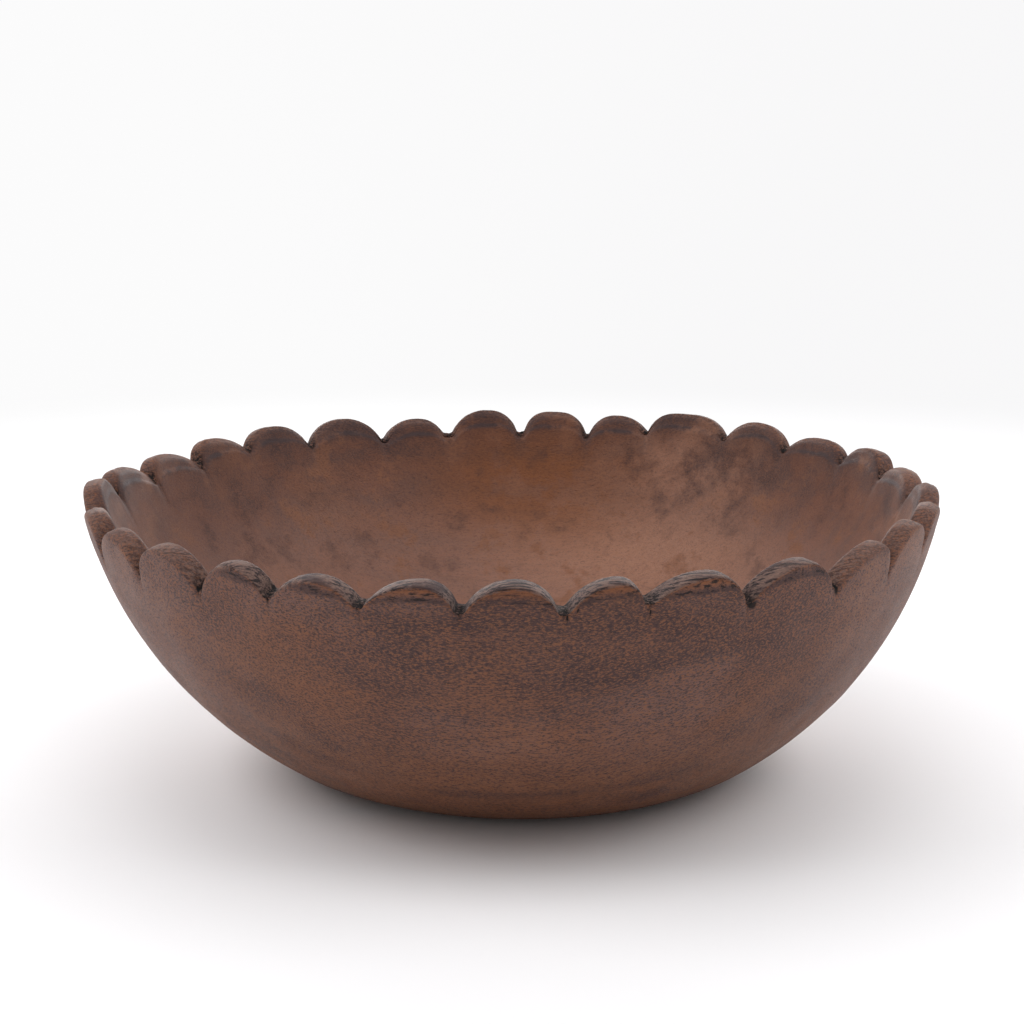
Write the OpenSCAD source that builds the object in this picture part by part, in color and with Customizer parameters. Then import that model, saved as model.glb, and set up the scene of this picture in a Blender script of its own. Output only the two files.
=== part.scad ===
// Round bowl carved from one block of wood: a flat foot, a full round belly and a rim cut into lobes.
// Millimetres. The origin is the middle of the foot's flat face, +Z is up, and the front is towards -Y.

/* [Bowl] */
// Diameter over the tops of the lobes, before their edges are bevelled
rim_d = 300; // [240:1:380]
// Height from the foot to the tops of the tallest lobes
bowl_h = 102; // [80:1:125]
// Diameter of the flat foot
foot_d = 124; // [90:1:150]
// Radius of the turn from the foot into the wall
heel_r = 50; // [30:1:60]
// Radius of the wall's long outer curve
belly_r = 140; // [115:1:220]

/* [Hollow] */
// Thickness of the wall at the tops of the lobes
rim_wall = 8; // [5:0.5:14]
// Thickness of the floor
floor_t = 12; // [8:0.5:20]
// Diameter of the flat middle of the floor
floor_d = 104; // [70:1:125]
// Radius of the turn from the floor into the wall, inside
hollow_heel_r = 45; // [25:1:55]
// Radius of the wall's long inner curve
hollow_belly_r = 132; // [110:1:200]

/* [Rim] */
// Number of lobes round the rim
lobe_count = 29; // [16:1:40]
// Height of the tallest lobes above a notch of ordinary depth
lobe_h = 10; // [6:0.5:14]
// How far the rim and the notches fall from their inner to their outer edge
rim_fall = 1.5; // [0.5:0.1:2.5]
// Width of the small bevel along both edges of the rim
rim_bevel = 0.8; // [0.4:0.1:1.5]

/* [Hidden] */
// Share of the rim that each lobe takes, set by hand: the front lobe first, then towards +X and round
lobe_share = [12, 10, 13, 14, 12, 12, 13, 13, 13, 12, 13, 12, 14, 10, 11,
              12, 11, 13, 12, 11, 13, 14, 14, 14, 13, 13, 11, 12, 12];
// How much lower than bowl_h each of those lobes ends
crest_drop = [1, 1, 1, 1.5, 2.5, 0, 0.5, 1, 2, 0.5, 2, 0.5, 0.5, 3.5, 3,
              2.5, 5, 3, 3, 4, 5, 3.5, 1.5, 2, 2.5, 1.5, 1.5, 2.5, 1.5];
// How much deeper than lobe_h the notch behind each of those lobes is cut
notch_extra = [0, -2, 1.5, 2, 1, 0, 1, 0, -2, -1.5, -0.5, -2, -1.5, 2, 2,
               2, 3, 1.5, 0, 2, 1.5, -1, 1, 3, 3, 1.5, -0.5, -0.5, -0.5];
// The front lobe's middle stands at the very front
front_angle = -90;
// Each lobe's arc would peak this far above the lobe's end, which leaves the lobe a narrow flat crest
crest_trim = 0.3;
// How far the notch cutters run past the wall, inwards and outwards
cut_over = 6;
// Angle between the points of the curved outlines
arc_step = 4;
$fn = 180;

rim_r = rim_d / 2;
outer_edge = [rim_r, bowl_h - rim_fall];
inner_edge = [rim_r - rim_wall, bowl_h];
rim_slope = atan(rim_fall / rim_wall);

// The point where circles of radius ra round a and rb round b cross, on the left of the way from a to b
function crossing(a, ra, b, rb) =
    let (way = b - a)
    let (gap = norm(way))
    let (along = (ra * ra - rb * rb + gap * gap) / (2 * gap))
    let (aside = sqrt(ra * ra - along * along))
    a + (along * way + aside * [-way[1], way[0]]) / gap;

// Points along the circle of radius r round c, from angle t0 to angle t1
function arc_points(c, r, t0, t1) =
    let (steps = ceil(abs(t1 - t0) / arc_step))
    [for (i = [0:steps]) c + r * [cos(t0 + (t1 - t0) * i / steps), sin(t0 + (t1 - t0) * i / steps)]];

// A dish's curved side, from the edge of its flat bottom to its rim at top: a turn of radius turn_r that
// leaves the bottom smoothly, and a long curve of radius side_r that the turn runs into
function side_points(bottom_r, bottom_z, turn_r, side_r, top) =
    let (turn_c = [bottom_r, bottom_z + turn_r])
    let (side_c = crossing(turn_c, side_r - turn_r, top, side_r))
    let (join = turn_c - side_c)
    let (reach = top - side_c)
    let (join_a = atan2(join[1], join[0]))
    let (top_a = atan2(reach[1], reach[0]))
    concat(arc_points(turn_c, turn_r, -90, join_a),
           [for (p = arc_points(side_c, side_r, join_a, top_a)) if (norm(p - turn_c) > turn_r + 0.01) p]);

outer_side = side_points(foot_d / 2, 0, heel_r, belly_r, outer_edge);
inner_side = side_points(floor_d / 2, floor_t, hollow_heel_r, hollow_belly_r, inner_edge);

// Sum of the shares of the first n lobes, the list being used again where it is too short
function share_sum(n) = n == 0 ? 0 : share_sum(n - 1) + lobe_share[(n - 1) % len(lobe_share)];
function share_angle(i) = 360 * lobe_share[i % len(lobe_share)] / share_sum(lobe_count);
// Angle of the notch behind lobe i, and half the width of lobe i measured straight across at the rim
function notch_angle(i) =
    front_angle - share_angle(0) / 2 + 360 * share_sum(i + 1) / share_sum(lobe_count);
function half_lobe(i) = rim_r * sin(share_angle(i) / 2);

// Half the cross section: the side curves closed by the foot, the floor and the bevelled rim
module wall_section() {
    difference() {
        polygon(concat([[0, 0]], outer_side, [inner_edge, [0, bowl_h]]));
        polygon(concat([[0, floor_t]], inner_side, [inner_edge + [0, 1], [0, bowl_h + 1]]));
        edge_bevel(outer_edge);
        edge_bevel(inner_edge);
    }
}

// The square that takes a bevel off a square edge of the sloping rim
module edge_bevel(edge) {
    translate(edge)
        rotate(45 - rim_slope)
            square(rim_bevel * sqrt(2), center = true);
}

// The round end of a lobe that is half wide across, ends drop below the rim's top face and falls to depth
// in the notch at x = 0. A lobe with no drop keeps the top face itself as its crest.
module lobe_round(half, depth, drop) {
    rise = depth - drop + crest_trim;
    radius = (half * half + rise * rise) / (2 * rise);
    crest = drop > 0 ? -drop : cut_over;
    intersection() {
        translate([-half, crest_trim - drop - radius])
            circle(r = radius);
        translate([-half - radius, crest - 2 * radius])
            square(2 * radius);
    }
}

// What is cut away between lobe i and the next one, drawn with the rim's top face at y = 0
module notch_outline(i) {
    depth = lobe_h + notch_extra[i % len(notch_extra)];
    next = (i + 1) % lobe_count;
    left = half_lobe(i);
    right = half_lobe(next);
    difference() {
        translate([-left, -depth - 1])
            square([left + right, depth + 1 + cut_over]);
        lobe_round(left, depth, crest_drop[i % len(crest_drop)]);
        mirror([1, 0])
            lobe_round(right, depth, crest_drop[next % len(crest_drop)]);
    }
}

// A notch's cutter, square to the wall: it runs outwards along the rim's slope, over its outer edge
module notch_cutter(i) {
    translate([outer_edge[0], 0, outer_edge[1]])
        rotate([0, rim_slope, 0])
            translate([-rim_wall - cut_over, 0, 0])
                rotate([90, 0, 90])
                    linear_extrude(rim_wall + 2 * cut_over)
                        notch_outline(i);
}

module carved_bowl() {
    color("#6b4636")
        difference() {
            rotate_extrude()
                wall_section();
            for (i = [0:lobe_count - 1])
                rotate(notch_angle(i))
                    notch_cutter(i);
        }
}

carved_bowl();
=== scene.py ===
"""Round bowl carved from one block of dark wood, with a scalloped rim, standing on a pale studio floor.

Metres throughout. +Z is up, the origin is the middle of the foot, the front is towards -Y and the wood's
grain runs along X. Angles round the bowl are counted from the front towards +X.
"""
import itertools
import math

import bpy
import numpy as np
from bpy.props import FloatProperty, FloatVectorProperty, IntProperty, PointerProperty
from bpy.types import Operator, Panel, PropertyGroup
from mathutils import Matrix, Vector


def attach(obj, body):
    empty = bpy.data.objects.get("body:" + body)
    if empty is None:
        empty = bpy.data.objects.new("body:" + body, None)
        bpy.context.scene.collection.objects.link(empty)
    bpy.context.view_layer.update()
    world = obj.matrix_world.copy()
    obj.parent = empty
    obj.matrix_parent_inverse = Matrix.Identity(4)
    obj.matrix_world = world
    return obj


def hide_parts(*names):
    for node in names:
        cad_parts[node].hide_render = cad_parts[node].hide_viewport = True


bl_info = {
    "name": "Carved Bowl",
    "version": (1, 0, 0),
    "blender": (4, 5, 0),
    "location": "View3D > Sidebar > Carved Bowl",
    "description": "A wooden bowl with a scalloped rim, carved from one block, and its studio",
    "category": "Add Mesh",
}

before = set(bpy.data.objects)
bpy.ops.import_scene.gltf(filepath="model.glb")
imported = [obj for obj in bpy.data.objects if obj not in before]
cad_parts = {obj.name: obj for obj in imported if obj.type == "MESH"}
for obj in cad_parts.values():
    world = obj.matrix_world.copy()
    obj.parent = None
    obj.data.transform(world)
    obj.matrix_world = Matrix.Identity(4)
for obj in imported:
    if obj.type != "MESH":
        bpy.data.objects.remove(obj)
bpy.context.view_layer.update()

MM = 0.001
# How far the rim falls from its inner to its outer edge
RIM_FALL = 1.5 * MM
# Radii of the turn from the foot into the wall and of the wall's long curve, outside and inside
HEEL_RADIUS, BELLY_RADIUS = 50 * MM, 140 * MM
HOLLOW_HEEL_RADIUS, HOLLOW_BELLY_RADIUS = 45 * MM, 132 * MM
# Radius of the flat middle of the floor
FLOOR_RADIUS = 52 * MM
# How far under the top the rings have all their columns, and how far under it they have half
FULL_DEPTH, HALF_DEPTH = 20 * MM, 34 * MM
# The camera's sensor width in millimetres and its small sideways shift
SENSOR_WIDTH, CAMERA_SHIFT = 36.0, 0.0009
# Height of the point that the lamps face, radii of the rings of the studio floor and their sides
LAMP_AIM = 0.05
FLOOR_RINGS = (0.15, 0.4, 1.0, 3.0, 12.0, 45.0)
FLOOR_SIDES = 96

# ---------------------------------------------------------------------------------------------- layout

# Share of the rim that each lobe takes: the front lobe first, then towards +X and round
LOBE_SHARE = (12, 10, 13, 14, 12, 12, 13, 13, 13, 12, 13, 12, 14, 10, 11,
              12, 11, 13, 12, 11, 13, 14, 14, 14, 13, 13, 11, 12, 12)
# How much lower than the bowl's height each of those lobes ends, in millimetres
CREST_DROP = (1, 1, 1, 1.5, 2.5, 0, 0.5, 1, 2.5, 0.5, 2, 0.5, 0.5, 3.5, 3,
              2.5, 5, 3, 2.5, 3, 4, 2, 0, 2, 2.5, 1.5, 1.5, 2.5, 1.5)
# How much deeper than usual the notch behind each of those lobes is, in millimetres
NOTCH_EXTRA = (0, -2, 1.5, 2, 1, 0, 1, 0, -2, -2.5, -1.5, -2.5, -1.5, 1, 1,
               1, 2, 1, -1, 1.5, 1.5, 0, 1.5, 3, 3, 1.5, -0.5, -0.5, -0.5)
# How far the top of each lobe leans to one side, in degrees round the bowl
CREST_LEAN = (0.5, 1.5, 1, 1, 3.5, 0.5, 0, 0, 0, -1, -1, 0, 0.5, 0, 0,
              -0.5, -0.5, 0.5, 1, 2, 3, 3, 0, 2, 0.5, -0.5, 0.5, 0.5, 1.5)
# How square the outline of a lobe is: 1 is a circle arc, more has a flatter top and steeper shoulders
FRONT_SQUARE, BACK_SQUARE = 1.0, 1.15
LOBE_SQUARE = {10: 1.3, 12: 1.6, 14: 1.5, 18: 1.3}
# Half the width of the rough floor of a notch, in millimetres, with the notches that are wider or narrower
NOTCH_FLOOR = 1.0
WIDE_NOTCHES = {0: 1.6, 1: 1.5, 3: 1.8, 14: 1.6, 15: 2.2, 16: 1.4, 26: 1.3, 27: 1.4, 28: 1.5}
# Lobes with a scooped, rust-coloured face under their outer edge, and how strong it is
SCOOPED = {26: 0.5, 27: 0.8, 28: 1.0, 0: 1.0, 1: 1.0, 2: 1.0, 3: 0.5, 4: 0.15}
# Those of them that are scooped mostly on their right half
HALF_SCOOPED = (26, 27)
# Knife slips and pits: angle and height of the middle (degrees, millimetres), then half-sizes across and up
KNIFE_MARKS = (
    (6.4, 89.4, 0.3, 1.2), (7.6, 91.6, 0.5, 0.7), (16.2, 89.8, 0.25, 0.9), (29.6, 88.4, 1.5, 1.4),
    (43.6, 88.0, 0.7, 2.2), (55.4, 89.0, 0.6, 2.6), (-31.0, 96.5, 1.6, 0.5), (-55.0, 98.3, 0.5, 1.8),
    (-17.6, 91.4, 0.5, 0.8), (-41.5, 89.0, 0.5, 1.6),
)
# Dark stains on the outer wall: middle and half-sizes in metres, then how dark
DARK_STAINS = (
    ((0.008, -0.146, 0.0860), (0.060, 0.05, 0.0065), 0.65),
    ((0.030, -0.140, 0.0700), (0.045, 0.05, 0.0120), 0.75),
    ((-0.050, -0.138, 0.0870), (0.034, 0.05, 0.0065), 0.6),
    ((0.085, -0.115, 0.0780), (0.030, 0.05, 0.0100), 0.5),
    ((0.070, -0.128, 0.0930), (0.012, 0.03, 0.0035), 0.9),
)
# Columns of faces across each lobe next to the rim, halved twice on the way down the wall
LOBE_COLUMNS = 44


class BowlShape(PropertyGroup):
    """Sizes of the bowl."""

    rim_diameter: FloatProperty(
        name="Rim diameter", description="Diameter over the tops of the lobes",
        default=0.300, min=0.24, max=0.38, unit="LENGTH")
    height: FloatProperty(
        name="Height", description="Height from the foot to the tops of the tallest lobes",
        default=0.102, min=0.08, max=0.125, unit="LENGTH")
    foot_diameter: FloatProperty(
        name="Foot diameter", description="Diameter of the flat face that the bowl rests on",
        default=0.124, min=0.09, max=0.15, unit="LENGTH")
    rim_wall: FloatProperty(
        name="Rim wall", description="Thickness of the wall at the tops of the lobes",
        default=0.008, min=0.005, max=0.014, unit="LENGTH")
    floor_thickness: FloatProperty(
        name="Floor thickness", description="Thickness of the wood under the hollow",
        default=0.012, min=0.008, max=0.02, unit="LENGTH")
    lobe_height: FloatProperty(
        name="Lobe height", description="Height of the tallest lobes above a notch of ordinary depth",
        default=0.010, min=0.006, max=0.014, unit="LENGTH")
    edge_wear: FloatProperty(
        name="Edge wear", description="Radius that handling has worn on the edges of the rim",
        default=0.0011, min=0.0004, max=0.002, unit="LENGTH")
    foot_shift: FloatProperty(
        name="Foot shift", description="How far the foot was hewn off the middle, towards +X",
        default=0.0035, min=0.0, max=0.006, unit="LENGTH")


class BowlColours(PropertyGroup):
    """Colours of the wood."""

    heart: FloatVectorProperty(
        name="Heartwood", description="Main colour of the outer wall",
        default=(0.125, 0.061, 0.047), subtype="COLOR", min=0, max=1)
    shade: FloatVectorProperty(
        name="Dark figure", description="Colour of the dark bands and smudges",
        default=(0.050, 0.030, 0.031), subtype="COLOR", min=0, max=1)
    warm: FloatVectorProperty(
        name="Warm figure", description="Colour of the warm bands and of the lower wall",
        default=(0.235, 0.096, 0.048), subtype="COLOR", min=0, max=1)
    # This pale colour is also painted sheen on the sides of the outer wall and on the low part of the hollow
    dust_and_sheen: FloatVectorProperty(
        name="Dusty bloom", description="Colour of the pale, rubbed parts of the wall",
        default=(0.235, 0.138, 0.118), subtype="COLOR", min=0, max=1)
    # The worn colour is also partly painted sheen on the low part of the hollow
    worn: FloatVectorProperty(
        name="Worn floor", description="Colour of the pale, used part inside",
        default=(0.360, 0.180, 0.118), subtype="COLOR", min=0, max=1)
    inner: FloatVectorProperty(
        name="Hollow", description="Main colour inside the bowl",
        default=(0.185, 0.076, 0.046), subtype="COLOR", min=0, max=1)
    amber: FloatVectorProperty(
        name="Amber patch", description="Colour of the orange patch inside, at the back",
        default=(0.215, 0.075, 0.026), subtype="COLOR", min=0, max=1)
    rust: FloatVectorProperty(
        name="Rust", description="Colour of the cut faces under the lobes",
        default=(0.235, 0.085, 0.036), subtype="COLOR", min=0, max=1)
    weathered: FloatVectorProperty(
        name="Weathered rim", description="Colour of the grey top of the rim",
        default=(0.150, 0.092, 0.074), subtype="COLOR", min=0, max=1)
    grime: FloatVectorProperty(
        name="Grime", description="Colour of the dirt in notches, pores and cracks",
        default=(0.009, 0.008, 0.008), subtype="COLOR", min=0, max=1)
    block: IntProperty(
        name="Block", description="Which block of wood the pattern is taken from", default=4, min=0, max=99)


class StudioSettings(PropertyGroup):
    """The floor, the light and the camera."""

    floor_colour: FloatVectorProperty(
        name="Floor", description="Colour of the seamless floor",
        default=(0.93, 0.922, 0.935), subtype="COLOR", min=0, max=1)
    surround: FloatProperty(
        name="Surround", description="Strength of the light from all round, at the back", default=0.78,
        min=0, max=2)
    dim_front: FloatProperty(
        name="Dim front", description="Share of the surround's strength that is left at the front",
        default=0.5, min=0, max=1)
    back_power: FloatProperty(
        name="Back light", description="Power of the wide, low soft light behind the bowl",
        default=18.0, min=0, max=200, unit="POWER")
    left_power: FloatProperty(
        name="Left light", description="Power of the soft light at the upper left",
        default=9.0, min=0, max=200, unit="POWER")
    right_power: FloatProperty(
        name="Right light", description="Power of the soft light at the upper right",
        default=7.0, min=0, max=200, unit="POWER")
    top_power: FloatProperty(
        name="Top light", description="Power of the soft light above the front of the bowl",
        default=2.6, min=0, max=200, unit="POWER")
    lens: FloatProperty(
        name="Lens", description="Focal length of the camera, in millimetres",
        default=84.83, min=20, max=200)
    distance: FloatProperty(
        name="Distance", description="From the camera to the middle of the bowl",
        default=0.850, min=0.4, max=3, unit="LENGTH")
    elevation: FloatProperty(
        name="Elevation", description="Angle of the camera above the table",
        default=math.radians(12.65), min=0, max=1.5, subtype="ANGLE", unit="ROTATION")
    aim_height: FloatProperty(
        name="Aim height", description="Height of the point that the camera looks at",
        default=0.0886, min=0, max=0.3, unit="LENGTH")


# ------------------------------------------------------------------------------------- shape helpers


def smooth(low, high, value):
    """0 up to low, 1 from high on, and an S-curve between them (3t squared minus 2t cubed)."""
    t = np.clip((value - low) / (high - low), 0.0, 1.0)
    return t * t * (3.0 - 2.0 * t)


def soft_noise(points, size, seed):
    """Noise from -1 to 1 that changes over about size.

    Random values stand on a cubic lattice with cells of that size, and a point takes the mean of its
    eight nearest, weighted by S-curves of its place in the cell.
    """
    count = 32
    lattice = np.random.default_rng(seed).uniform(-1.0, 1.0, (count, count, count))
    place = points / size
    cell = np.floor(place).astype(int)
    part = smooth(0.0, 1.0, place - cell)
    total = np.zeros(len(points))
    for corner in itertools.product((0, 1), repeat=3):
        near = (cell + corner) % count
        weight = np.where(np.array(corner) == 1, part, 1.0 - part).prod(axis=1)
        total += weight * lattice[near[:, 0], near[:, 1], near[:, 2]]
    return total


class WallCurve:
    """One side of the bowl's wall in the half plane (radius, height), from its flat bottom to its rim.

    A circle arc of turn_r leaves the flat bottom smoothly at (flat_r, flat_z), and a long arc of side_r,
    which touches the first, ends at top. Both are sampled densely and read by their length from the flat.
    """

    def __init__(self, flat_r, flat_z, turn_r, side_r, top):
        turn_c = np.array([flat_r, flat_z + turn_r])
        top = np.array(top)
        way = top - turn_c
        gap = np.hypot(*way)
        near, far = side_r - turn_r, side_r
        along = (near * near - far * far + gap * gap) / (2.0 * gap)
        aside = math.sqrt(near * near - along * along)
        side_c = turn_c + (along * way + aside * np.array([-way[1], way[0]])) / gap
        join = math.atan2(*(turn_c - side_c)[::-1])
        reach = math.atan2(*(top - side_c)[::-1])
        turn = np.linspace(-math.pi / 2, join, 300)
        side = np.linspace(join, reach, 600)[1:]
        r = np.concatenate([turn_c[0] + turn_r * np.cos(turn), side_c[0] + side_r * np.cos(side)])
        z = np.concatenate([turn_c[1] + turn_r * np.sin(turn), side_c[1] + side_r * np.sin(side)])
        self.r, self.z = r, z
        self.s = np.concatenate([[0.0], np.cumsum(np.hypot(np.diff(r), np.diff(z)))])

    def at(self, s):
        """(radius, height) at the lengths s."""
        return np.interp(s, self.s, self.r), np.interp(s, self.s, self.z)

    def at_height(self, z):
        """The length at which the curve reaches the height z."""
        return np.interp(z, self.z, self.s)

    def under(self, depth, edge, slope):
        """The length at which the curve is depth under the rim's sloping plane through edge."""
        below = -((self.r - edge[0]) * math.sin(slope) + (self.z - edge[1]) * math.cos(slope))
        return np.interp(depth, below[::-1], self.s[::-1])


def lobe_edges():
    """Angles of the notches, starting with the one before the front lobe, which is centred on 0."""
    share = np.array(LOBE_SHARE, float)
    width = 2.0 * math.pi * share / share.sum()
    return np.concatenate([[0.0], np.cumsum(width)]) - width[0] / 2.0, width


def clustered_angles(per_lobe):
    """Angles of the columns: per_lobe in each lobe, closer together towards its notches.

    Inside a lobe the angle is its share t of the width, less 0.6 sin(2 pi t) / (2 pi).
    """
    edges, width = lobe_edges()
    t = np.arange(per_lobe) / per_lobe
    t = t - 0.6 * np.sin(2.0 * math.pi * t) / (2.0 * math.pi)
    return (edges[:-1, None] + width[:, None] * t).ravel()


def rim_depth(theta, radius, lobe_height):
    """How far under the rim's plane each column is cut, and where the column stands in its lobe.

    Each half of a lobe is an arc, from its top down to its notch. With u the share of the way to the notch's
    floor, half the distance to it and p the lobe's squareness, the depth is
    drop + q - sqrt(q squared - (half u^p) squared), where q is the radius whose arc falls by the notch's
    depth over half. The notch has a flat floor, and a soft minimum rounds the arc into it.
    Returns depth, distance from the nearest notch, share from the top (0) to the notch (1) and how strongly
    the lobe is scooped there.
    """
    edges, width = lobe_edges()
    wrapped = (theta - edges[0]) % (2.0 * math.pi) + edges[0]
    lobe = np.clip(np.searchsorted(edges, wrapped, side="right") - 1, 0, len(width) - 1)
    count = len(width)
    middle = edges[:-1] + width / 2.0
    crest = middle + np.radians(CREST_LEAN)
    drop = np.array(CREST_DROP) * MM
    square = np.where(np.cos(middle) > 0.35, FRONT_SQUARE, BACK_SQUARE)
    square[list(LOBE_SQUARE)] = list(LOBE_SQUARE.values())
    flat = np.full(count, NOTCH_FLOOR)
    flat[list(WIDE_NOTCHES)] = list(WIDE_NOTCHES.values())
    scooped = np.zeros(count)
    scooped[list(SCOOPED)] = list(SCOOPED.values())
    one_sided = np.isin(np.arange(count), HALF_SCOOPED)
    after, flat_after = lobe_height + np.array(NOTCH_EXTRA) * MM, flat * MM
    before, flat_before = np.roll(after, 1), np.roll(flat_after, 1)

    right = wrapped > crest[lobe]
    notch = np.where(right, after[lobe], before[lobe])
    floor = np.where(right, flat_after[lobe], flat_before[lobe])
    half = radius * np.sin(np.where(right, edges[1:][lobe] - crest[lobe], crest[lobe] - edges[:-1][lobe]))
    across = np.minimum(radius * np.sin(np.abs(wrapped - crest[lobe])), half)
    reach, rise = half - floor, notch - drop[lobe]
    q = (reach * reach + rise * rise) / (2.0 * rise)
    x = np.minimum(reach * (across / reach) ** square[lobe], 0.995 * q)
    arc = drop[lobe] + q - np.sqrt(q * q - x * x)
    soft = 0.4 * MM
    depth = -soft * np.logaddexp(-arc / soft, -notch / soft) + soft * np.exp(-arc / soft)
    signed = np.where(right, across, -across) / half
    cut = scooped[lobe] * np.where(one_sided[lobe], 0.2 + 0.8 * smooth(-0.5, 0.4, signed), 1.0)
    return depth, half - across, across / half, cut


def bowl_surface(shape):
    """The whole skin as rings, from the middle of the foot, up the outer wall, over the rim and down inside.

    Near the rim the rings have the full number of columns. Their points follow the outer curve up to the
    cut, a rounded edge (a quadratic curve with the corner as its middle point), the flat of the cut, the
    inner rounded edge and the inner curve. Lower rings have half and a quarter of the columns. Every point
    then moves into the wood along its normal by the tool marks, dents and noise.
    Returns points, ring sizes and the marks that the material reads.
    """
    radius = shape.rim_diameter / 2.0
    height, wall = shape.height, shape.rim_wall
    slope = math.atan(RIM_FALL / wall)
    outer_edge, inner_edge = (radius, height - RIM_FALL), (radius - wall, height)
    outer = WallCurve(shape.foot_diameter / 2.0, 0.0, HEEL_RADIUS, BELLY_RADIUS, outer_edge)
    inner = WallCurve(FLOOR_RADIUS, shape.floor_thickness, HOLLOW_HEEL_RADIUS, HOLLOW_BELLY_RADIUS,
                      inner_edge)

    # The rings near the rim
    theta = clustered_angles(LOBE_COLUMNS)
    depth, from_notch, share, cut = rim_depth(theta, radius, shape.lobe_height)
    start_z = height - FULL_DEPTH
    side = np.abs(np.sin(theta))
    back = smooth(0.55, -0.25, np.cos(theta))
    along_rim = np.stack([theta, 0.0 * theta, 0.0 * theta], 1)
    wear = shape.edge_wear * (1.0 + 0.35 * soft_noise(along_rim, 0.11, 3))
    wear_out = wear * (0.75 + 1.9 * smooth(0.6, 0.0, cut))
    wear_in = wear * (1.15 + 1.1 * np.maximum(back, side * side))
    cut_out, cut_in = outer.under(depth, outer_edge, slope), inner.under(depth, outer_edge, slope)

    rows_r, rows_z, rows_v, rows_kind = [], [], [], []

    def add_row(r, z, below, kind):
        rows_r.append(r)
        rows_z.append(z)
        rows_v.append(below)
        rows_kind.append(np.full(len(r), kind))

    low = outer.at_height(start_z)
    for t in 1.0 - (1.0 - np.linspace(0.0, 1.0, 19)) ** 1.25:
        s = low + (cut_out - wear_out - low) * t
        add_row(*outer.at(s), cut_out - s, 0.0)
    corner_o, corner_i = np.array(outer.at(cut_out)), np.array(inner.at(cut_in))
    below_o, below_i = np.array(outer.at(cut_out - wear_out)), np.array(inner.at(cut_in - wear_in))
    flat = (corner_i - corner_o) / np.hypot(*(corner_i - corner_o))
    top_o, top_i = corner_o + flat * wear_out, corner_i - flat * wear_in
    for t in (0.2, 0.4, 0.6, 0.8):
        p = (1 - t) ** 2 * below_o + 2 * t * (1 - t) * corner_o + t * t * top_o
        add_row(*p, (1 - t) * wear_out * 0.5, t)
    for t in np.linspace(0.0, 1.0, 6):
        crown = 0.25 * MM * 4 * t * (1 - t)
        p = top_o + (top_i - top_o) * t
        add_row(p[0] + crown * math.sin(slope), p[1] + crown * math.cos(slope), 0.0 * wear, 1.0 + t)
    for t in (0.2, 0.4, 0.6, 0.8):
        p = (1 - t) ** 2 * top_i + 2 * t * (1 - t) * corner_i + t * t * below_i
        add_row(*p, t * wear_in * 0.5, 2.0 + t)
    low = inner.at_height(start_z)
    for t in np.linspace(0.0, 1.0, 17) ** 1.15:
        s = cut_in - wear_in + (low - cut_in + wear_in) * t
        add_row(*inner.at(s), cut_in - s, 3.0)
    rim_r, rim_z = np.array(rows_r), np.array(rows_z)
    rim_v, rim_kind = np.array(rows_v), np.array(rows_kind)

    # The rings further down, outside and inside, from the foot or floor up
    mid_z = height - HALF_DEPTH

    def body_rings(curve, flat_r, flat_z, rises):
        rings = []
        for r in flat_r * np.linspace(0.0, 1.0, 8)[1:-1]:
            rings.append((r, flat_z, LOBE_COLUMNS // 4))
        mid, end = curve.at_height(mid_z), curve.at_height(start_z)
        for s in np.linspace(0.0, mid, rises):
            rings.append((*curve.at(s), LOBE_COLUMNS // 4))
        for s in np.linspace(mid, end, 8)[1:-1]:
            rings.append((*curve.at(s), LOBE_COLUMNS // 2))
        return rings

    outer_rings = body_rings(outer, shape.foot_diameter / 2.0, 0.0, 31)
    inner_rings = body_rings(inner, FLOOR_RADIUS, shape.floor_thickness, 31)[::-1]

    parts = {name: [] for name in ("theta", "r", "z", "nr", "nz", "v", "kind", "notch", "share", "cut")}
    sizes = []

    def put(**values):
        for name, value in values.items():
            parts[name].append(np.broadcast_to(value, values["theta"].shape).astype(float).ravel())

    def put_body(rings, kind, far):
        rs = np.array([ring[0] for ring in rings])
        zs = np.array([ring[1] for ring in rings])
        dr, dz = np.gradient(rs), np.gradient(zs)
        length = np.hypot(dr, dz)
        for (r, z, per_lobe), nr, nz in zip(rings, dz / length, -dr / length):
            angles = clustered_angles(per_lobe)
            even = angles[0] + np.arange(len(angles)) * 2.0 * math.pi / len(angles)
            spread = float(smooth(start_z, mid_z - 20 * MM, z))
            _, gap, part, _ = rim_depth(angles, radius, shape.lobe_height)
            angles = angles + (even - angles) * spread
            put(theta=angles, r=r, z=z, nr=nr, nz=nz, v=far, kind=kind, notch=gap, share=part, cut=0.0)
            sizes.append(len(angles))

    put_body(outer_rings, 0.0, FULL_DEPTH)
    dr, dz = np.gradient(rim_r, axis=0), np.gradient(rim_z, axis=0)
    length = np.hypot(dr, dz)
    grid = np.broadcast_to(theta, rim_r.shape)
    put(theta=grid, r=rim_r, z=rim_z, nr=dz / length, nz=-dr / length, v=rim_v, kind=rim_kind,
        notch=from_notch, share=share, cut=cut)
    sizes += [len(theta)] * len(rim_r)
    put_body(inner_rings, 3.0, FULL_DEPTH)
    f = {name: np.concatenate(value) for name, value in parts.items()}
    return carve(f, shape, height), sizes


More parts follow.
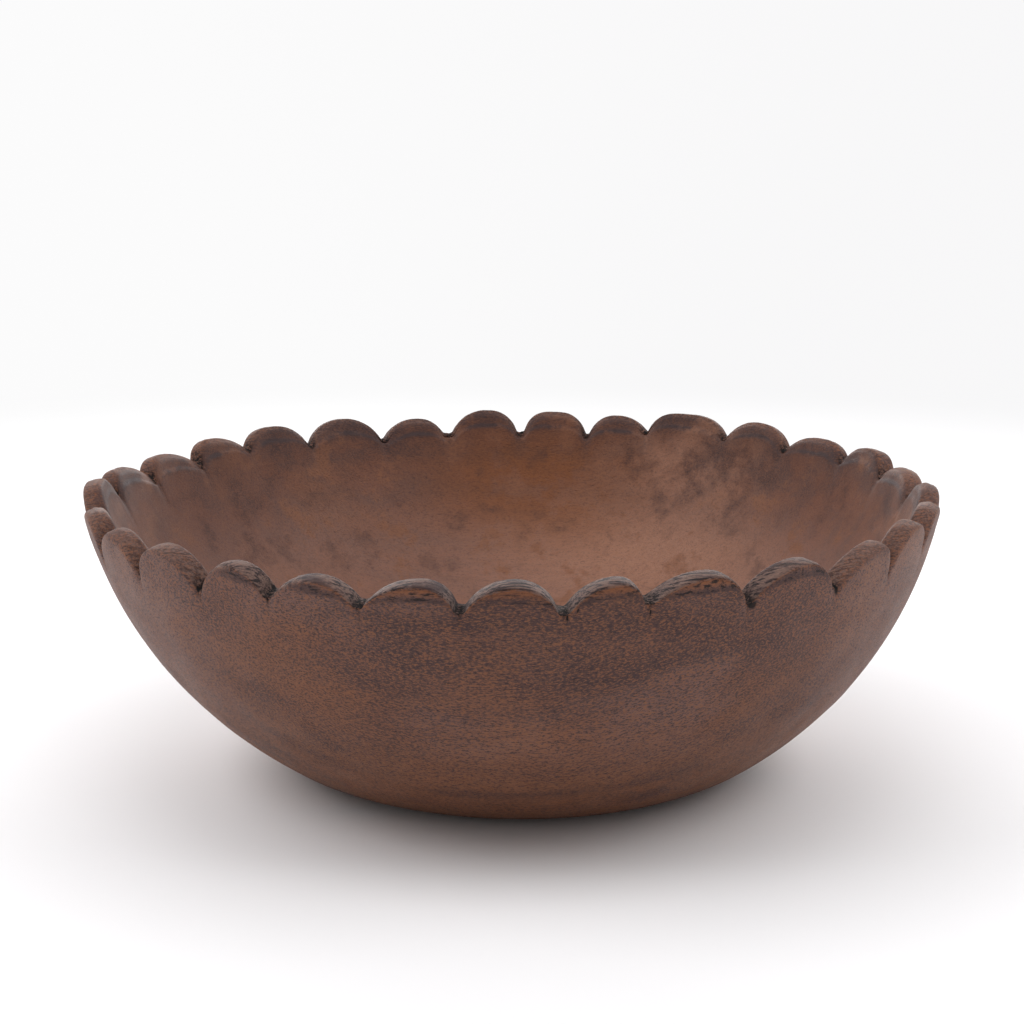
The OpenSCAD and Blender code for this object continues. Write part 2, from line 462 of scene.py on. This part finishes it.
def carve(f, shape, height):
    """Moves the points into the wood along their normals, and works out the marks for the material.

    Tool marks: under the scooped lobes of the front a hollow hangs from the outer edge, as deep as one minus
    the square of the share of its height. Inside, the lobes of the sides and back have a bevel that runs out
    in a small step. A groove runs down from each notch on both faces, fading with a bell curve across and an
    exponential downwards, and the fingers between the grooves are rounded with the cube of the share. The
    floors of the notches are broken by fine noise, and knife slips are small bell-shaped pits.
    """
    theta = f["theta"]
    base = np.stack([f["r"] * np.sin(theta), -f["r"] * np.cos(theta), f["z"]], 1)
    outside, inside = f["kind"] < 0.9, f["kind"] > 2.1
    band = smooth(0.2, 0.9, f["kind"]) * smooth(2.9, 2.2, f["kind"])
    near_rim = f["v"] < 19 * MM
    back = smooth(0.45, -0.3, np.cos(theta))
    side = np.abs(np.sin(theta))
    lumps = soft_noise(base, 14 * MM, 11)

    wide = np.clip(1.0 - (f["share"] / 0.84) ** 2, 0.0, 1.0)
    t = np.clip(f["v"] / ((1.0 + 4.4 * wide * (1.0 + 0.25 * lumps)) * MM), 0.0, 1.0)
    scoop = (1.0 - t * t) * np.sqrt(wide) * outside * f["cut"]
    wide_in = np.clip(1.0 - (f["share"] / 0.93) ** 2, 0.0, 1.0)
    reach_in = (2.2 + 3.6 * np.sqrt(wide_in) * (1.0 + 0.3 * soft_noise(base, 9 * MM, 12))) * MM
    t_in = f["v"] / reach_in
    bevel = np.clip(1.0 - t_in, 0.0, 1.0) * inside * near_rim * back
    step = smooth(1.08, 0.92, t_in) * inside * near_rim * back

    groove_w = np.where(outside, 1.6 + 0.8 * side, 2.8) * MM
    groove_l = np.where(outside, 2.6 + 0.8 * side, 4.5) * MM
    groove = np.exp(-((f["notch"] / groove_w) ** 2) - f["v"] / groove_l) * (1.0 - band) * near_rim
    finger = f["share"] ** 3 * np.exp(-f["v"] / (5 * MM)) * near_rim * (1.0 - band)
    floor = np.exp(-((f["notch"] / (2.1 * MM)) ** 2)) * band

    drift = 0.22 * soft_noise(base, 30 * MM, 21) + 0.12 * soft_noise(base, 11 * MM, 22)
    chips = soft_noise(base, 2.4 * MM, 23) * 0.5 + soft_noise(base, 1.1 * MM, 24) * 0.5
    slip = np.zeros(len(theta))
    for angle, level, half_w, half_h in KNIFE_MARKS:
        aside = (np.remainder(theta - math.radians(angle) + math.pi, 2.0 * math.pi) - math.pi) * f["r"]
        near = (aside / (half_w * MM)) ** 2 + ((f["z"] - level * MM) / (half_h * MM)) ** 2
        slip = np.maximum(slip, np.exp(-near) * (1.0 - inside))
    sink = (
        0.30 + drift
        + 0.85 * scoop
        + 0.65 * bevel + 0.40 * step
        + np.where(outside, 0.5 + 0.4 * side, 0.9) * groove
        + np.where(outside, 0.12 * side, 0.55) * finger
        + floor * (0.25 + 0.50 * chips)
        + band * (0.09 * chips + 0.10 * lumps)
        + smooth(height - 26 * MM, height - 16 * MM, f["z"]) * (1.0 - band) * 0.05 * chips
        + 0.7 * slip
    )
    sink = np.maximum(sink, 0.05) * MM
    sink = sink * smooth(0.0, 7 * MM, np.where(inside, height, f["z"]))
    r, z = f["r"] - f["nr"] * sink, f["z"] - f["nz"] * sink
    shift = shape.foot_shift * np.clip(1.0 - f["z"] / height, 0.0, 1.0) ** 1.5
    points = np.stack([r * np.sin(theta) + shift, -r * np.cos(theta), z], 1)

    edge = np.exp(-((f["v"] / (1.1 * MM)) ** 2)) * smooth(1.3, 0.9, f["kind"]) * outside
    crack = np.exp(-((f["notch"] / (0.6 * MM)) ** 2) - f["v"] / (2.6 * MM)) * (1.0 - band) * near_rim
    ledge = np.exp(-(((t_in - 1.0) / 0.17) ** 2)) * inside * near_rim * back * np.sqrt(wide_in)
    marks = {
        "rim_band": band,
        "rim_edge": edge * f["cut"],
        "rim_side": smooth(0.45, 0.85, side),
        "notch_dirt": np.clip(floor * 1.2 + crack * np.where(inside, 0.6, 1.0), 0.0, 1.0),
        "slip": slip,
        "scoop": np.clip(scoop * (t < 0.999), 0.0, 1.0),
        "ledge": ledge,
        "hollow": inside.astype(float),
        "under_rim": np.exp(-f["v"] / (6 * MM)) * near_rim,
    }
    return points, marks


def ring_faces(sizes):
    """Triangles and quads between the rings, whose sizes are equal, halved or doubled, and two end fans.

    Between a ring of n points and one of 2n, each side of the smaller ring takes three triangles.
    """
    starts = np.concatenate([[0], np.cumsum(sizes)]).astype(int)
    quads, tris = [], []
    for k in range(len(sizes) - 1):
        a, b, n, m = starts[k], starts[k + 1], sizes[k], sizes[k + 1]
        if n == m:
            i = np.arange(n)
            j = (i + 1) % n
            quads.append(np.stack([a + i, a + j, b + j, b + i], 1))
            continue
        small, big, few, flip = (a, b, n, False) if n < m else (b, a, m, True)
        i = np.arange(few)
        j = (i + 1) % few
        c0, c1 = small + i, small + j
        f0, f1, f2 = big + 2 * i, big + 2 * i + 1, big + (2 * i + 2) % (2 * few)
        trio = [np.stack(t, 1) for t in ((c0, f1, f0), (c0, c1, f1), (c1, f2, f1))]
        tris += [t[:, ::-1] if flip else t for t in trio]
    count = starts[-1]
    for start, n, pole, flip in ((0, sizes[0], count, True), (starts[-2], sizes[-1], count + 1, False)):
        i = np.arange(n)
        fan = np.stack([start + i, start + (i + 1) % n, np.full(n, pole)], 1)
        tris.append(fan[:, ::-1] if flip else fan)
    return np.concatenate(quads), np.concatenate(tris)


def mesh_object(name, points, quads, tris, marks):
    """A smooth-shaded mesh object from whole arrays, with its marks as point attributes."""
    mesh = bpy.data.meshes.new(name)
    loops = np.concatenate([quads.ravel(), tris.ravel()]).astype(np.int32)
    starts = np.concatenate([np.arange(len(quads)) * 4, len(quads) * 4 + np.arange(len(tris)) * 3])
    mesh.vertices.add(len(points))
    mesh.vertices.foreach_set("co", points.astype(np.float32).ravel())
    mesh.loops.add(len(loops))
    mesh.loops.foreach_set("vertex_index", loops)
    mesh.polygons.add(len(starts))
    mesh.polygons.foreach_set("loop_start", starts.astype(np.int32))
    mesh.update(calc_edges=True)
    mesh.validate()
    mesh.shade_smooth()
    for mark, values in marks.items():
        layer = mesh.attributes.new(mark, "FLOAT", "POINT")
        layer.data.foreach_set("value", values.astype(np.float32))
    piece = bpy.data.objects.new(name, mesh)
    bpy.context.scene.collection.objects.link(piece)
    return piece


# --------------------------------------------------------------------------------------- shader helpers


class Wire:
    """One socket of a node tree, so that shader maths reads as an expression."""

    def __init__(self, tree, socket):
        self.tree, self.socket = tree, socket

    def _math(self, operation, *values, clamp=False):
        return add_node(self.tree, "ShaderNodeMath", {"operation": operation, "use_clamp": clamp},
                        dict(enumerate(values)))

    def __add__(self, other):
        return self._math("ADD", self, other)

    __radd__ = __add__

    def __mul__(self, other):
        return self._math("MULTIPLY", self, other)

    __rmul__ = __mul__

    def __sub__(self, other):
        return self._math("SUBTRACT", self, other)

    def __rsub__(self, other):
        return self._math("SUBTRACT", other, self)

    def __truediv__(self, other):
        return self._math("DIVIDE", self, other)

    def clip(self):
        return self._math("ADD", self, 0.0, clamp=True)

    def span(self, low, high, to_low=0.0, to_high=1.0):
        """An S-curve from to_low at low to to_high at high."""
        return add_node(self.tree, "ShaderNodeMapRange", {"interpolation_type": "SMOOTHSTEP"},
                        {"Value": self, "From Min": low, "From Max": high,
                         "To Min": to_low, "To Max": to_high})


def add_node(tree, kind, settings, inputs, output=0):
    """Adds one node: its settings first, then the values or links of its sockets. Returns one output."""
    node = tree.nodes.new(kind)
    for name, value in settings.items():
        setattr(node, name, value)
    for key, value in inputs.items():
        socket = node.inputs[key]
        if isinstance(value, Wire):
            tree.links.new(value.socket, socket)
        else:
            socket.default_value = value
    return Wire(tree, node.outputs[output]) if len(node.outputs) else None


class Paint:
    """The patterns that the wood is made of, as calls that return wires."""

    def __init__(self, tree):
        self.tree = tree
        self.place = self.node("ShaderNodeTexCoord", {}, {}, "Object")

    def node(self, kind, settings, inputs, output=0):
        return add_node(self.tree, kind, settings, inputs, output)

    def mark(self, name):
        return self.node("ShaderNodeAttribute", {"attribute_type": "GEOMETRY", "attribute_name": name},
                         {}, "Fac")

    def scaled(self, vector, scale, offset=(0.0, 0.0, 0.0)):
        return self.node("ShaderNodeMapping", {"vector_type": "POINT"},
                         {"Vector": vector, "Scale": scale, "Location": offset})

    def noise(self, vector, scale, detail=3.0, rough=0.5):
        return self.node("ShaderNodeTexNoise", {"noise_dimensions": "3D"},
                         {"Vector": vector, "Scale": scale, "Detail": detail, "Roughness": rough}, "Fac")

    def mix(self, factor, a, b):
        return self.node("ShaderNodeMix", {"data_type": "RGBA"}, {0: factor, 6: a, 7: b}, 2)

    def axis(self, name):
        return self.node("ShaderNodeSeparateXYZ", {}, {"Vector": self.place}, name)

    def patch(self, centre, size, edge=0.6):
        """1 at centre, fading to 0 on an ellipsoid of half-sizes size."""
        inverse = [1.0 / s for s in size]
        moved = self.scaled(self.place, inverse, [-c / s for c, s in zip(centre, size)])
        length = self.node("ShaderNodeVectorMath", {"operation": "LENGTH"}, {0: moved}, "Value")
        return length.span(1.0, 1.0 - edge)


def colour(value):
    return (*value, 1.0)


def wood_material(colours):
    """Dark one-block hardwood, a solid pattern whose grain runs along X."""
    material = bpy.data.materials.new("carved_wood")
    material.use_nodes = True
    tree = material.node_tree
    tree.nodes.clear()
    p = Paint(tree)
    shift = tuple(colours.block * step for step in (0.137, 0.211, 0.173))

    # The block's coordinates: slightly wavy, then squeezed along the grain
    waver = p.node("ShaderNodeTexNoise", {"noise_dimensions": "3D"},
                   {"Vector": p.scaled(p.place, (9, 22, 22), shift), "Scale": 1.0, "Detail": 2.0}, "Color")
    waver = p.node("ShaderNodeVectorMath", {"operation": "SUBTRACT"}, {0: waver, 1: (0.5, 0.5, 0.5)})
    block = p.node("ShaderNodeVectorMath", {"operation": "MULTIPLY_ADD"},
                   {0: waver, 1: (0.0, 0.012, 0.012), 2: p.place})
    long_grain = p.scaled(block, (0.07, 1.0, 1.0), shift)
    short_grain = p.scaled(block, (0.30, 1.0, 1.0), shift)

    figure = p.noise(long_grain, 95.0, 5.0, 0.6)
    blotch = p.noise(p.scaled(p.place, (0.5, 1, 1), shift), 26.0, 4.0, 0.55)
    bloom = p.noise(p.scaled(p.place, (0.6, 1, 1), (5.0, 9.0, 2.0)), 20.0, 3.0, 0.5)
    lines = p.noise(long_grain, 850.0, 3.0, 0.65)
    pores = p.noise(short_grain, 2300.0, 2.0, 0.6)
    flecks = p.noise(p.scaled(block, (0.42, 1, 1), (3.1, 1.7, 2.3)), 1900.0, 3.0, 0.7)
    film = p.noise(p.scaled(p.place, (1, 1, 1), (7.0, 2.0, 5.0)), 60.0, 5.0, 0.65)
    crumbs = p.noise(p.place, 950.0, 3.0, 0.7)

    band, edge = p.mark("rim_band"), p.mark("rim_edge")
    dirt, scoop, slip = p.mark("notch_dirt"), p.mark("scoop"), p.mark("slip")
    hollow, under, ledge = p.mark("hollow"), p.mark("under_rim"), p.mark("ledge")
    endwise = p.mark("rim_side")
    up = p.axis("Z")

    shade, heart, warm = colour(colours.shade), colour(colours.heart), colour(colours.warm)
    dust_and_sheen, grime, rust = colour(colours.dust_and_sheen), colour(colours.grime), colour(colours.rust)
    # Outer wall: heartwood with darker bands, warm bands, a pale bloom, painted sheen on its left and right
    # sides and a dark stain below the rim
    outer = p.mix(figure.span(0.36, 0.60, 0.50, 1.0), shade, heart)
    outer = p.mix(blotch.span(0.48, 0.66) * 0.55, outer, warm)
    outer = p.mix(blotch.span(0.50, 0.34) * 0.50, outer, shade)
    outer = p.mix(bloom.span(0.50, 0.68) * 0.40, outer, dust_and_sheen)
    outer = p.mix(up.span(0.060, 0.012) * figure.span(0.30, 0.52) * 0.85, outer, warm)
    flank = p.axis("X")
    # Painted sheen: the left and right sides of the outer wall are lightened towards the pale colour,
    # standing in for the grey reflection of the white surroundings
    outer = p.mix(((flank * flank).span(0.0040, 0.0160) * 0.50), outer, dust_and_sheen)
    lobe_sides = up.span(0.078, 0.093) * (flank * flank).span(0.0090, 0.0170)
    outer = p.mix(lobe_sides * film.span(0.46, 0.58) * lines.span(0.56, 0.42, 0.3, 1.0) * 0.80, outer, shade)
    outer = p.mix(lobe_sides * film.span(0.48, 0.38) * 0.45, outer, rust)
    for centre, size, depth in DARK_STAINS:
        outer = p.mix(p.patch(centre, size, 0.9) * figure.span(0.66, 0.40) * depth, outer, shade)
    # Inside: redder, with an amber patch at the back, a pale floor that is partly wear and partly painted
    # sheen, painted shade on the left wall and grey-black mottling
    inner = p.mix(figure.span(0.34, 0.62), heart, colour(colours.inner))
    inner = p.mix(blotch.span(0.50, 0.68) * 0.5, inner, warm)
    worn, low_inside = colour(colours.worn), up.span(0.084, 0.048)
    # Partly painted sheen: the low part of the hollow is lightened towards the pale colour by height
    inner = p.mix(low_inside * bloom.span(0.30, 0.60, 0.45, 1.0) * 0.60, inner, dust_and_sheen)
    used = p.patch((0.055, 0.105, 0.048), (0.095, 0.09, 0.034), 0.95)
    inner = p.mix(used * film.span(0.20, 0.55, 0.5, 1.0), inner, worn)
    # Partly wear and partly painted sheen: the lowest part of the hollow is lightened further towards the
    # worn colour
    inner = p.mix(low_inside * low_inside * 0.25, inner, worn)
    inner = p.mix(p.patch((0.012, 0.130, 0.072), (0.075, 0.05, 0.040), 0.9) * film.span(0.30, 0.55) * 0.85,
                  inner, colour(colours.amber))
    mottled = (p.patch((0.075, 0.105, 0.075), (0.060, 0.05, 0.026), 0.8)
               + p.patch((-0.070, 0.112, 0.074), (0.034, 0.05, 0.016), 0.8) * 0.5) * film.span(0.44, 0.60)
    inner = p.mix(film.span(0.47, 0.35) * 0.75, inner, warm)
    pale = p.patch((0.072, 0.115, 0.083), (0.050, 0.05, 0.022), 0.9) * film.span(0.66, 0.40, 0.2, 1.0)
    inner = p.mix(pale * 0.75, inner, worn)
    # Painted shade: the left part of the hollow is darkened towards the heartwood colour
    inner = p.mix(p.axis("X").span(-0.075, -0.125) * 0.40, inner, heart)
    inner = p.mix((mottled * 0.32 + film.span(0.53, 0.72) * 0.55).clip(), inner, shade)
    inner = p.mix((under * 1.5).clip() * film.span(0.34, 0.58, 0.35, 1.0) * 0.80, inner, shade)
    wood = p.mix(hollow, outer, inner)
    # Fine grain everywhere
    rubbed = 1 - hollow * 0.65
    wood = p.mix(lines.span(0.58, 0.34) * rubbed * 0.35, wood, shade)
    wood = p.mix(flecks.span(0.50, 0.59) * rubbed * 0.80, wood, warm)
    wood = p.mix(flecks.span(0.48, 0.38) * rubbed * 0.90, wood, shade)
    # Scoops and edges under the lobes
    low_end = scoop.span(0.02, 0.25) * scoop.span(0.85, 0.35)
    wood = p.mix(low_end * film.span(0.34, 0.56, 0.15, 1.0) * 0.70, wood, shade)
    wood = p.mix(scoop.span(0.45, 0.95) * lines.span(0.38, 0.56, 0.25, 1.0) * 0.80, wood, rust)
    wood = p.mix(scoop.span(0.10, 0.40) * lines.span(0.49, 0.36) * 0.90, wood, grime)
    wood = p.mix((ledge * film.span(0.40, 0.54, 0.05, 1.3)).clip() * 0.9, wood, shade)
    # The weathered band: fine lines along the grain at the front, crumbly end grain at the sides
    streaks = p.node("ShaderNodeMix", {"data_type": "FLOAT"}, {0: endwise, 2: lines, 3: crumbs}, 0)
    grey = p.mix(streaks.span(0.44, 0.56), shade, colour(colours.weathered))
    grey = p.mix(flecks.span(0.50, 0.68) * 0.55, grey, colour(colours.dust_and_sheen))
    grey = p.mix(lines.span(0.48, 0.38) * 0.85, grey, grime)
    grey = p.mix((film.span(0.54, 0.64) * 0.8).clip(), grey, shade)
    grey = p.mix(endwise * 0.45, grey, heart)
    grey = p.mix(endwise * flecks.span(0.48, 0.62) * 0.60, grey, rust)
    rear = p.axis("Y").span(-0.05, 0.06)
    wood = p.mix(band * blotch.span(0.28, 0.46, 0.7, 1.0) * (1 - rear * 0.65), wood, grey)
    wood = p.mix(edge * flecks.span(0.40, 0.56) * 0.9, wood, rust)
    # Dirt
    wood = p.mix(pores.span(0.58, 0.70) * rubbed * 0.55, wood, grime)
    wood = p.mix((dirt * crumbs.span(0.57, 0.43, 0.10, 1.10) + slip.span(0.25, 0.6) * 0.9).clip(),
                 wood, grime)

    relief = (pores.span(0.56, 0.72) * -1.0 + lines * 0.5 + flecks * 0.35 + band * crumbs * 1.2
              + dirt * crumbs * 2.0)
    bump = p.node("ShaderNodeBump", {}, {"Strength": 0.45, "Distance": 0.0003, "Height": relief}, "Normal")
    rough = film.span(0.3, 0.7, 0.50, 0.62) + band * 0.14 + dirt * 0.2
    shader = p.node("ShaderNodeBsdfPrincipled", {},
                    {"Base Color": wood, "Roughness": rough.clip(), "Normal": bump,
                     "Specular IOR Level": 0.20, "IOR": 1.5}, "BSDF")
    p.node("ShaderNodeOutputMaterial", {}, {"Surface": shader})
    return material


def floor_material(settings):
    """Matt white near the bowl, and glowing like the surroundings further away, so it has no horizon."""
    material = bpy.data.materials.new("studio_floor")
    material.use_nodes = True
    tree = material.node_tree
    tree.nodes.clear()
    p = Paint(tree)
    length = p.node("ShaderNodeVectorMath", {"operation": "LENGTH"}, {0: p.place}, "Value")
    to_right = (p.axis("X") / length).span(-0.25, 0.25)
    matt = p.node("ShaderNodeBsdfDiffuse", {}, {"Color": colour(settings.floor_colour)}, "BSDF")
    glow = p.node("ShaderNodeEmission", {},
                  {"Color": p.mix(to_right, (0.968, 0.966, 0.968, 1.0), (0.938, 0.934, 0.940, 1.0)),
                   "Strength": 1.0}, "Emission")
    both = p.node("ShaderNodeMixShader", {}, {0: length.span(0.28, 0.80), 1: matt, 2: glow})
    p.node("ShaderNodeOutputMaterial", {}, {"Surface": both})
    return material


def surround_world(strength, front_share):
    """Light from all round, dimmer from the front, in front of which the eye sees plain white."""
    world = bpy.data.worlds.new("surround")
    world.use_nodes = True
    tree = world.node_tree
    tree.nodes.clear()
    direction = add_node(tree, "ShaderNodeTexCoord", {}, {}, "Generated")
    to_back = add_node(tree, "ShaderNodeSeparateXYZ", {}, {"Vector": direction}, "Y").span(-0.6, 0.5)
    seen = add_node(tree, "ShaderNodeLightPath", {}, {}, "Is Camera Ray")
    front = strength * front_share
    lit = add_node(tree, "ShaderNodeMix", {"data_type": "RGBA"},
                   {0: to_back, 6: (front, front, front, 1.0), 7: (strength, strength, strength, 1.0)}, 2)
    shown = add_node(tree, "ShaderNodeMix", {"data_type": "RGBA"},
                     {0: seen, 6: lit, 7: (0.955, 0.953, 0.958, 1.0)}, 2)
    background = add_node(tree, "ShaderNodeBackground", {}, {"Color": shown, "Strength": 1.0})
    add_node(tree, "ShaderNodeOutputWorld", {}, {"Surface": background})
    return world


# ------------------------------------------------------------------------------------------- operators


class MakeBowl(Operator):
    """Make the carved bowl as one closed skin with its wood"""

    bl_idname = "carved_bowl.make_bowl"
    bl_label = "Carved bowl"

    def execute(self, context):
        scene = context.scene
        (points, marks), sizes = bowl_surface(scene.bowl_shape)
        quads, tris = ring_faces(sizes)
        ends = np.array([[scene.bowl_shape.foot_shift, 0.0, 0.0],
                         [scene.bowl_shape.foot_shift, 0.0, points[-sizes[-1]:, 2].mean()]])
        points = np.concatenate([points, ends])
        marks = {name: np.concatenate([values, [values[0], values[-1]]]) for name, values in marks.items()}
        bowl = mesh_object("bowl_carved", points, quads, tris, marks)
        bowl.data.materials.append(wood_material(scene.bowl_colours))
        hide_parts("carved_bowl")
        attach(bowl, "root")
        return {"FINISHED"}


class MakeStudio(Operator):
    """Make the pale floor, the soft light and the camera"""

    bl_idname = "carved_bowl.make_studio"
    bl_label = "Studio"

    def execute(self, context):
        scene, settings = context.scene, context.scene.studio
        turn = np.arange(FLOOR_SIDES) * 2.0 * math.pi / FLOOR_SIDES
        radii = np.array(FLOOR_RINGS)
        rings = radii[:, None, None] * np.stack([np.cos(turn), np.sin(turn), 0.0 * turn], 1)
        points = np.concatenate([rings.reshape(-1, 3), [[0.0, 0.0, 0.0]]])
        i = np.arange(FLOOR_SIDES)
        j = (i + 1) % FLOOR_SIDES
        starts = np.arange(len(radii)) * FLOOR_SIDES
        quads = np.concatenate([np.stack([a + i, b + i, b + j, a + j], 1)
                                for a, b in zip(starts[:-1], starts[1:])])
        tris = np.stack([i, j, np.full(FLOOR_SIDES, len(points) - 1)], 1)
        floor = mesh_object("studio_floor", points, quads, tris, {})
        floor.data.materials.append(floor_material(settings))

        scene.world = surround_world(settings.surround, settings.dim_front)

        for name, power, place, width, height in (
            ("back_light", settings.back_power, (0.0, 1.50, 0.58), 1.8, 0.8),
            ("left_light", settings.left_power, (-1.06, -0.10, 1.06), 1.1, 0.8),
            ("right_light", settings.right_power, (1.06, -0.10, 1.06), 1.1, 0.8),
            ("top_light", settings.top_power, (0.0, -0.32, 1.35), 0.8, 0.5),
        ):
            light = bpy.data.lights.new(name, "AREA")
            light.shape, light.size, light.size_y = "RECTANGLE", width, height
            light.energy = power
            lamp = bpy.data.objects.new(name, light)
            lamp.location = place
            lamp.rotation_mode = "QUATERNION"
            lamp.rotation_quaternion = (Vector((0, 0, LAMP_AIM)) - lamp.location).to_track_quat("-Z", "Y")
            lamp.visible_camera = False
            scene.collection.objects.link(lamp)

        camera_data = bpy.data.cameras.new("camera")
        camera_data.sensor_width, camera_data.lens = SENSOR_WIDTH, settings.lens
        camera_data.shift_x = CAMERA_SHIFT
        camera_data.clip_start, camera_data.clip_end = 0.02, 60.0
        camera = bpy.data.objects.new("camera", camera_data)
        tilt = settings.elevation
        back = Vector((0.0, -math.cos(tilt), math.sin(tilt)))
        camera.location = Vector((0.0, 0.0, settings.aim_height)) + back * settings.distance
        camera.rotation_mode = "QUATERNION"
        camera.rotation_quaternion = (-back).to_track_quat("-Z", "Y")
        scene.collection.objects.link(camera)
        scene.camera = camera
        scene.view_settings.view_transform = "Standard"
        return {"FINISHED"}


class BowlPanel(Panel):
    """Lists the bowl's sizes, its colours and the studio."""

    bl_idname = "VIEW3D_PT_carved_bowl"
    bl_label = "Carved Bowl"
    bl_space_type = "VIEW_3D"
    bl_region_type = "UI"
    bl_category = "Carved Bowl"

    def draw(self, context):
        scene = context.scene
        for label, group, operator in (
            ("Shape", scene.bowl_shape, MakeBowl.bl_idname),
            ("Colours", scene.bowl_colours, None),
            ("Studio", scene.studio, MakeStudio.bl_idname),
        ):
            box = self.layout.box()
            box.label(text=label)
            for name in group.__annotations__:
                box.prop(group, name)
            if operator:
                box.operator(operator)


CLASSES = (BowlShape, BowlColours, StudioSettings, MakeBowl, MakeStudio, BowlPanel)


def register():
    for cls in CLASSES:
        bpy.utils.register_class(cls)
    bpy.types.Scene.bowl_shape = PointerProperty(type=BowlShape)
    bpy.types.Scene.bowl_colours = PointerProperty(type=BowlColours)
    bpy.types.Scene.studio = PointerProperty(type=StudioSettings)


def unregister():
    del bpy.types.Scene.studio, bpy.types.Scene.bowl_colours, bpy.types.Scene.bowl_shape
    for cls in reversed(CLASSES):
        bpy.utils.unregister_class(cls)


def main():
    register()
    bpy.ops.carved_bowl.make_bowl()
    bpy.ops.carved_bowl.make_studio()


if __name__ == "__main__":
    main()
